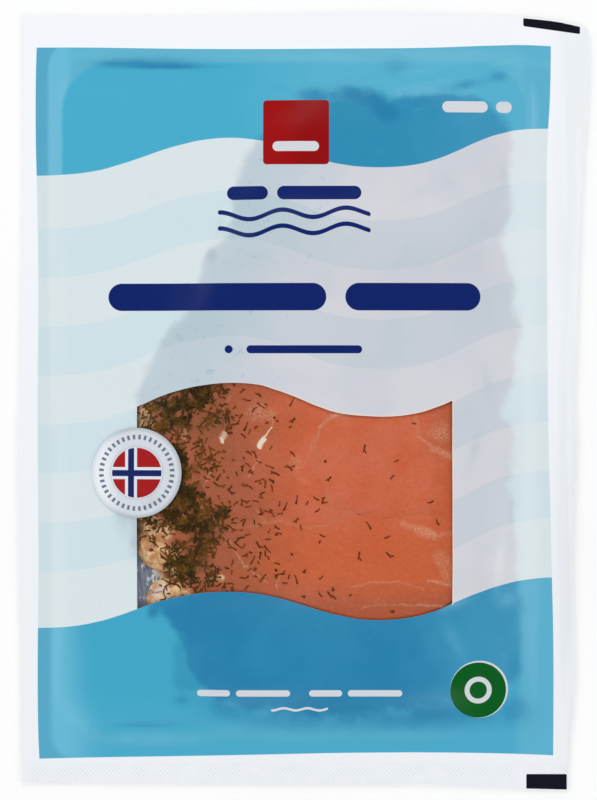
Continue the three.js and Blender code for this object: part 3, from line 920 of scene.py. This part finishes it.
pane = bmesh.new()
bmesh.ops.create_grid(pane, x_segments=WINDOW_STEPS, y_segments=1, size=0.5)
for point in pane.verts:
    x = (WINDOW_LEFT + WINDOW_RIGHT) / 2 + point.co.x * (WINDOW_RIGHT - WINDOW_LEFT)
    y = wave_height(MIDDLE, WINDOW_WAVE[0], x) if point.co.y > 0 else wave_height(LOWER, LOWER_WAVE[0], x)
    point.co = (x * MM, y * MM, KNIFE_LOW)
raised = bmesh.ops.extrude_face_region(pane, geom=pane.faces[:])["geom"]
raised = [part for part in raised if isinstance(part, bmesh.types.BMVert)]
bmesh.ops.translate(pane, vec=(0, 0, KNIFE_HIGH - KNIFE_LOW), verts=raised)
bmesh.ops.recalc_face_normals(pane, faces=pane.faces)
cutter = linked("cutting_pane", mesh_of(pane, "cutting_pane"))
window = linked("lid_window", lid.data.copy())
cut(window, cutter, "INTERSECT")
cut(lid, cutter, "DIFFERENCE")
bpy.data.objects.remove(cutter)


def note_below(obj, rounds=4):
    """Marks where fish lies under the film, softened over a few points, and where the film is pressed."""
    fish = [0.0 if highest(flesh_trees, p.co.x, p.co.y) is None else 1.0 for p in obj.data.vertices]
    near = [[] for _ in fish]
    for edge in obj.data.edges:
        a, b = edge.vertices
        near[a].append(b)
        near[b].append(a)
    for _ in range(rounds):
        fish = [(v + sum(fish[i] for i in near[n])) / (1 + len(near[n])) for n, v in enumerate(fish)]
    keep_value(obj, "on_fish", fish)
    keep_value(obj, "pressed", [pressed(p.co.x / MM, p.co.y / MM) for p in obj.data.vertices])


def rounded_bar():
    """1 inside a bar with round corners on the print, in mm, and how far a point lies outside it."""
    names = ["Across", "Up", "Middle X", "Middle Y"]
    sizes = {**dict.fromkeys(names, 0.0), "Half Long": 1.0, "Half High": 1.0, "Corner": 0.5}
    tree, wires, given, out = new_group("rounded_bar", sizes, ["Mask", "Past"])
    sides = []
    for place, middle, half in (("Across", "Middle X", "Half Long"), ("Up", "Middle Y", "Half High")):
        off = abs(given[place] - given[middle])
        sides.append(off - (given[half] - given["Corner"]))
    outer = [side.larger(0.0) for side in sides]
    squares = outer[0].scaled(outer[0], outer[1] * outer[1])
    inner = sides[0].larger(sides[1]).smaller(0.0)
    past = wires.math("SQRT", squares) + inner - given["Corner"]
    wires.put(out["Past"], past)
    wires.put(out["Mask"], 1.0 - past.ramp(-0.06, 0.06))
    return tree


ROUNDED_BAR = rounded_bar()
# The seal's inner edge and the board's edge: middle x and y, half width, half height and corner in mm.
SEAL = (0.3, 0.25, 68.1, 95.75, 8)
BOARD_EDGE = (-2.9, 1.85, 60.9, 87.65, 13)
NAVY, WHITE, GREEN, CREAM, BLACK = "0C2268", "D5D8DD", "005A1C", "F0DCCC", "10121F"
BARS = [  # left, right, middle, height and colour, in mm, of the bars that stand for the print's words
    (-8.4, 3.8, 67.2, 2.6, WHITE), (-20.4, -9.6, 54.9, 3.6, NAVY), (-7.2, 14.9, 54.9, 3.6, NAVY),
    (-51.7, 5.7, 27.6, 7.2, NAVY), (10.7, 46.2, 27.6, 7.2, NAVY), (-20.9, -18.8, 13.8, 2.1, NAVY),
    (-15.2, 15.1, 13.8, 2.1, NAVY), (38.6, 38.95, -26.2, 53.8, 0.05, CREAM),
    (36.2, 48.2, 77.6, 3, WHITE), (50.4, 54.6, 77.6, 3, WHITE), (-28.3, -19.6, -76.6, 1.7, WHITE),
    (-18, -3.8, -76.6, 1.7, WHITE), (1.2, 9.9, -76.6, 1.7, WHITE), (11.4, 25.7, -76.6, 1.7, WHITE),
]
DISCS = [  # middle x and y, radius and colour, each over the one before
    (45.95, -75.6, 7.65, WHITE), (45.7, -75.8, 7.4, GREEN), (45.7, -75.8, 3.6, WHITE),
    (45.7, -75.8, 2.3, GREEN),
]
STRIPE_FIRST, STRIPE_PITCH, STRIPE_LAST = 13.95, 25.6, 104.0
HATCH_PITCH = 1.15  # of the embossing in the foot of the seal


def lid_finish():
    """Blue, navy and white ink on pale film, what shows through it, and the sealed margin round it."""
    material, wires, shader = new_finish("printed_film", 0.3, gloss=0.15)
    spot = wires.use(PRINT_PLACE)
    across, up, below = spot["Across"], spot["Up"], spot["Below"]

    def block(middle_x, middle_y, half_long, half_high, corner, x=across, y=up):
        return wires.use(ROUNDED_BAR, {
            "Across": x, "Up": y, "Middle X": middle_x, "Middle Y": middle_y,
            "Half Long": half_long, "Half High": half_high, "Corner": corner,
        })

    def bar(left, right, middle_y, high, corner=None):
        round_end = high / 2 if corner is None else corner
        return block((left + right) / 2, middle_y, (right - left) / 2, high / 2, round_end)["Mask"]

    def disc(x, y, radius):
        return bar(x - radius, x + radius, y, 2 * radius)

    def shades(value, low, high, first, second):
        return wires.mix(value.ramp(low, high), first, second)

    # What lies under the film shows through the ink. Noise makes its edge ragged and its touch patchy.
    patchy = wires.speckle(4 * MM, 4.0)
    cloud = wires.speckle(16 * MM, 3.0)
    wander = (patchy - 0.5) * 0.9
    fish = (wires.carried("on_fish") + wander).ramp(0.1, 0.95)
    board_past = block(*BOARD_EDGE)["Past"]
    soft_edge = up.ramp(50, -30).scaled(-4.0, -0.5)
    left_foot = across.ramp(0, -40) * up.ramp(-35, -75)
    board_in = left_foot.scaled(-5.5, soft_edge)
    aside = abs(across - BOARD_EDGE[0])
    upright = aside.ramp(left_foot.scaled(-8.5, 57.5), 61)
    board = (board_past + wander).ramp(left_foot.scaled(1.7, 0.8), board_in)
    sealed = block(*SEAL)["Past"].ramp(soft_edge.scaled(0.4, -0.4), 0.4)
    lines = wires.speckle(5 * MM, 3.0, stretch=(1.6, 0.12, 1)).ramp(0.36, 0.64)
    near_edge = board_past.ramp(-2.5, 1.2) * board_past.ramp(5.0, 1.8) * lines.scaled(0.8, 0.2)
    # The ink is painted darker where the film is pressed: partly its closer touch on what lies under it,
    # partly painted shade of the dent or crease. Where the film lifts the ink is painted lighter, a painted
    # sheen.
    touch = wires.carried("pressed") * patchy.scaled(0.9, 0.55)
    down = touch.ramp(0.0, 0.9)
    lift_sheen = touch.ramp(0.0, -0.7)

    right_foot = across.ramp(0, 40) * up.ramp(-20, -40)
    bright_edge = near_edge * wires.math("SUBTRACT", upright, right_foot, clamp=True)
    on_board = wires.laid(
        shades(up, -60, 90, "43A7C7", "49ADCD"),
        (across.waver(10 * MM, 22).ramp(-22, 4), "56B1CF"),
    )
    over_fish = wires.laid(
        shades(cloud, 0.35, 0.65, "2680AC", "2D87B1"),
        (up.ramp(0, 60), "2F8DB5"),
        (across.waver(9 * MM, 20).ramp(22, 48), "3C94BA"),
    )
    # Past the fish's edge, a few patches of the blue foot are darkened toward the tone over the fish.
    shown = fish
    for *dark_patch, strength in FOOT_DARK_PATCHES:
        past = wander.scaled(3.0, block(*dark_patch)["Past"])
        shown = (past.ramp(1.5, -1.5) * strength).larger(shown)
    strands = wires.speckle(6 * MM, 4.0, stretch=(0.4, 1.5, 1), roughness=0.6).ramp(0.5, 0.66)
    strands = strands * up.waver(9 * MM, 8).ramp(74, 81) * across.ramp(-14, 4)
    teal = wires.laid(
        wires.mix(
            upright,
            shades(up, -88, 80, "4BABCB", "5FB3CE"),
            shades(across, -60, 55, "68BAD6", "5DB1CF"),
        ),
        (bright_edge, "6FBDD8"),
        (sealed, "57A9C8"),
        (board, on_board),
        (shown, over_fish),
        ((strands, 0.55), "6BB9D5"),
        # painted shade in the pressed dents, and painted sheen where the film lifts
        ((down, 0.8), "247CAA"),
        (lift_sheen, "6FBBD6"),
    )

    # Under the pale part the fish's left end is blue-grey with its dill, which shows as small marks.
    slant = up.larger(0.0).scaled(-0.37, across.waver(9 * MM, 16))
    dilled = fish * slant.ramp(-8, -34)
    specks = wires.speckle(1.7 * MM, 3.0).ramp(0.6, 0.68) * slant.ramp(-4, -22)
    specks = specks * patchy.ramp(0.42, 0.6) * fish

    high_right = across.ramp(40, 58) * up.ramp(-10, 15)

    def paper(plain, plain_sealed, low_fish, high_fish, dill_tone):
        return wires.laid(
            wires.mix(sealed, plain, plain_sealed),
            ((near_edge, 0.3), "E2ECEE"),
            ((high_right, 0.42), "E4EBEF"),
            (fish, shades(cloud, 0.38, 0.62, low_fish, high_fish)),
            (dilled, dill_tone),
            ((specks, 0.45), "9DB2C2"),
            # painted shade in the pressed dents, and painted sheen where the film lifts
            ((down, 0.7), "AEBECA"),
            ((lift_sheen, 0.9), "E0E7EA"),
        )

    light = paper("DAE5E8", "D5E2E5", "CED1D9", "D4D5DB", "BECDD6")
    dark = paper("D0E2E7", "CCDFE3", "C4CDD5", "C9CFD7", "B6C9D2")
    phase = wires.math("FRACT", (below - STRIPE_FIRST) / STRIPE_PITCH)
    stripe = abs(phase - 0.25).ramp(0.252, 0.248) * below.ramp(STRIPE_FIRST - 0.1, STRIPE_FIRST)
    stripe = stripe * below.ramp(STRIPE_LAST + 0.1, STRIPE_LAST)
    ink = wires.mix(below.ramp(-0.05, 0.05), teal, wires.mix(stripe, light, dark))
    ink = wires.mix(spot["Below Lower"].ramp(-0.05, 0.05), ink, teal)

    # A cream line of underprint shows along the window's upper edge.
    over_pane = across.ramp(-22, 0) * across.ramp(38.9, 38.7)
    rim = abs(below - (WINDOW_TOP - 0.16)).ramp(0.24, 0.1)
    ink = wires.mix((rim, over_pane * 0.75), ink, "EFD8C8")
    marks = [(bar(-10.9, 6.45, 70.95, 17.1, 1.0), shades(across, -6, 0, "9E070B", "92080C"))]
    marks += [(bar(*place), colour) for *place, colour in BARS]
    marks += [(disc(*place), colour) for *place, colour in DISCS]

    def swung(shift, pitch, depth):
        return wires.math("COSINE", (across + shift) * (math.tau / pitch)).scaled(-depth, up)

    wavy_up = across.scaled(-0.03, swung(5.9, 16.6, 1.1))
    for rise in (49.45, 45.2):
        marks.append((block(-2.75, rise, 20.05, 0.6, 0.55, across, wavy_up)["Mask"], NAVY))
    marks.append((block(-1.3, -80.9, 7.5, 0.32, 0.3, across, swung(5.4, 6.2, 0.3))["Mask"], WHITE))
    ink = wires.laid(ink, *marks)

    # The white margin round the print is the sealed part of the web, with painted light and shade: a little
    # lighter toward the top, and darker soft streaks down its right edge, most toward the foot.
    share = across.ramp(*PANEL_WIDE, "LINEAR")
    rise = up.ramp(*PANEL_LONG, "LINEAR")
    head_line, foot_line = (wave_curve(wires, share, *line)[1] for line in (PANEL_TOP, PANEL_FOOT))
    left_line, right_line = (wave_curve(wires, rise, *line)[1] for line in (PANEL_LEFT, PANEL_RIGHT))
    nearest = (head_line - up).smaller(up - foot_line)
    nearest = nearest.smaller((across - left_line).smaller(right_line - across))
    panel = nearest.ramp(-0.06, 0.06)
    # Painted light and shade: lighter toward the top, and darker soft streaks down the right edge, most
    # toward the foot.
    margin = wires.mix(up.ramp(-100, 100), "EFF2F5", "F4F7FB")
    shade_streaks = wires.speckle(3 * MM, 2.0, stretch=(1, 0.06, 1)).ramp(0.4, 0.62).scaled(0.75, 0.25)
    margin = wires.mix((across.ramp(64, 70), shade_streaks), margin, shades(up, -30, 20, "E6EAEE", "EDF1F4"))
    hatch = 0.0
    for lean in (1.0, -1.0):
        hatch = wires.math("SINE", across.scaled(lean, up) * (math.tau / HATCH_PITCH)) + hatch
    hatch = hatch.ramp(0.0, 1.6) * up.ramp(-94.6, -96)
    margin = wires.mix((hatch, patchy.ramp(0.3, 0.6)), margin, "E1E6EB")
    skin = wires.mix(panel, margin, ink)
    slope = (across - 65.3).scaled(0.14, up)
    skin = wires.mix(block(65.3, 99.8, 7.5, 1.55, 0.4, across, slope)["Mask"], skin, BLACK)
    skin = wires.mix(bar(58.6, 69.3, -100.5, 4.4, 0.3), skin, BLACK)
    wires.put(shader.inputs["Base Color"], skin)
    wires.put(shader.inputs["Roughness"], patchy.scaled(0.2, 0.22))

    # The seal leaves a low ridge round the print and a fine crosswise embossing in the foot of the margin.
    ridge = abs(block(*SEAL)["Past"]).ramp(0.7, 0.1)
    height = ridge.scaled(0.5, wires.use(FILM_CREASES)["Height"])
    emboss(wires, shader, hatch.scaled(0.12, height), 0.07 * MM)
    return material


note_below(lid)
smooth_faces(lid)
dress(lid, lid_finish())
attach(lid, "root")
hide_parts("lid_film")

material, wires, shader = new_finish("clear_film", 0.12)
shader.inputs["Base Color"].default_value = screen("1C2228")
shader.inputs["Alpha"].default_value = 0.03
emboss(wires, shader, wires.use(FILM_CREASES)["Height"], 0.08 * MM)
smooth_faces(window)
dress(window, material)
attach(window, "root")
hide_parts("lid_film")


# The badge is a round paper sticker on the lid film, over the left edge of the window. It is white with a
# flag of a white-edged blue cross on red in its middle and a ring of small grey marks round that.
BADGE_RINGS = 9
BADGE_SIDES = 96
BADGE_THICK = 0.3 * MM
BADGE_LIFT = 0.03 * MM
BADGE_ROUNDS = 4
FLAG_RADIUS, LINE_RADIUS, TICK_RADIUS = 6.56, 7.0, 9.4  # in mm
TICKS, TICK_HALF = 40, 0.61
CROSS_LEFT, CROSS_LOW = 1.5, 0.1  # how far its middle lies from the badge's
CROSS_WHITE, CROSS_BLUE = 1.58, 0.8  # half widths of its white and its blue

film_trees = [tree_of(lid), tree_of(window)]
badge_low, badge_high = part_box("badge")
badge_x, badge_y = (badge_low.x + badge_high.x) / 2, (badge_low.y + badge_high.y) / 2
badge_radius = (badge_high.x - badge_low.x) / 2
sticker = bmesh.new()
bmesh.ops.create_circle(sticker, cap_ends=True, segments=BADGE_SIDES, radius=badge_radius)
for _ in range(BADGE_RINGS):
    faces = [face for face in sticker.faces if len(face.verts) > 4]
    bmesh.ops.inset_region(sticker, faces=faces, thickness=badge_radius / (BADGE_RINGS + 1))
bmesh.ops.translate(sticker, vec=(badge_x, badge_y, 0), verts=sticker.verts)
for point in sticker.verts:
    point.co.z = highest(film_trees, point.co.x, point.co.y) + BADGE_THICK + BADGE_LIFT
for _ in range(BADGE_ROUNDS):
    bmesh.ops.smooth_vert(sticker, verts=sticker.verts, factor=0.5, use_axis_z=True)
bmesh.ops.solidify(sticker, geom=sticker.faces[:], thickness=BADGE_THICK)
bmesh.ops.recalc_face_normals(sticker, faces=sticker.faces)
badge = linked("badge_sticker", mesh_of(sticker, "badge"))
smooth_faces(badge)

material, wires, shader = new_finish("sticker", 0.35, gloss=0.3)
across, up = wires.flat_place()
across, up = across - badge_x / MM, up - badge_y / MM
far = wires.far(across, up)
cross = abs(across + CROSS_LEFT).smaller(abs(up + CROSS_LOW))
flag = wires.laid(
    "A30A0E",
    (cross.within(CROSS_WHITE), "DDE3EA"),
    (cross.within(CROSS_BLUE), "02195E"),
)
line = abs(far - LINE_RADIUS).ramp(0.26, 0.1)
beat = wires.math("FRACT", wires.math("ARCTAN2", up, across) * (TICKS / math.tau))
ticks = beat.ramp(0.24, 0.3) * beat.ramp(0.76, 0.7)
ring = abs(far - TICK_RADIUS).within(TICK_HALF)
# Painted shade: the white paper is painted greyer to the right of its left edge, and its rim darker, most
# on the right.
painted_badge_shade = across.ramp(-10, -3)
paper = wires.laid(
    wires.mix(painted_badge_shade, "EDF2F7", "D4D8DF"),
    ((wires.speckle(4 * MM, 3.0), 0.3), "DEE3EA"),
    (far.ramp(10.6, 11.6), wires.mix(painted_badge_shade, "DFE5EB", "B9C0C8")),
    ((line, 0.4), "AEB8C2"),
    (far.within(FLAG_RADIUS, 0.06), flag),
    ((ring, ticks), "6B7688"),
)
wires.put(shader.inputs["Base Color"], paper)
wires.put(shader.inputs["Roughness"], wires.speckle(2 * MM).scaled(0.15, 0.28))
dress(badge, material)
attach(badge, "root")
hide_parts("badge")


# The floor is plain and pale, and soft lamps on all four sides light it evenly. None hangs overhead, where
# the glossy film would mirror it.
FLOOR_SIZE = 3.0
floor_shape = bmesh.new()
bmesh.ops.create_grid(floor_shape, x_segments=1, y_segments=1, size=FLOOR_SIZE)
floor = linked("floor", mesh_of(floor_shape, "floor"))
material, wires, shader = new_finish("floor", 0.9)
wires.put(shader.inputs["Base Color"], wires.mix(wires.speckle(0.4), "FCFCFC", "FEFEFE"))
dress(floor, material)

ROOM_LIGHT, ROOM_STRENGTH = (0.97, 0.98, 1.0, 1), 0.25
world = bpy.data.worlds.new("studio")
world.use_nodes = True
room = world.node_tree.nodes["Background"].inputs
room["Color"].default_value = ROOM_LIGHT
room["Strength"].default_value = ROOM_STRENGTH
scene.world = world

LAMP_SIZE = 0.8
LAMPS = [
    ("left_softbox", (-1.1, 0.1, 0.62), 7.0),
    ("right_softbox", (1.1, -0.1, 0.62), 6.5),
    ("top_softbox", (0.0, 1.1, 0.62), 7.5),
    ("foot_softbox", (0.0, -1.1, 0.62), 6.3),
]
for name, place, power in LAMPS:
    lamp = bpy.data.lights.new(name, "AREA")
    lamp.shape = "SQUARE"
    lamp.size = LAMP_SIZE
    lamp.energy = power
    holder = bpy.data.objects.new(name, lamp)
    scene.collection.objects.link(holder)
    holder.location = place
    holder.rotation_mode = "QUATERNION"
    holder.rotation_quaternion = (-Vector(place)).to_track_quat("-Z", "Y")
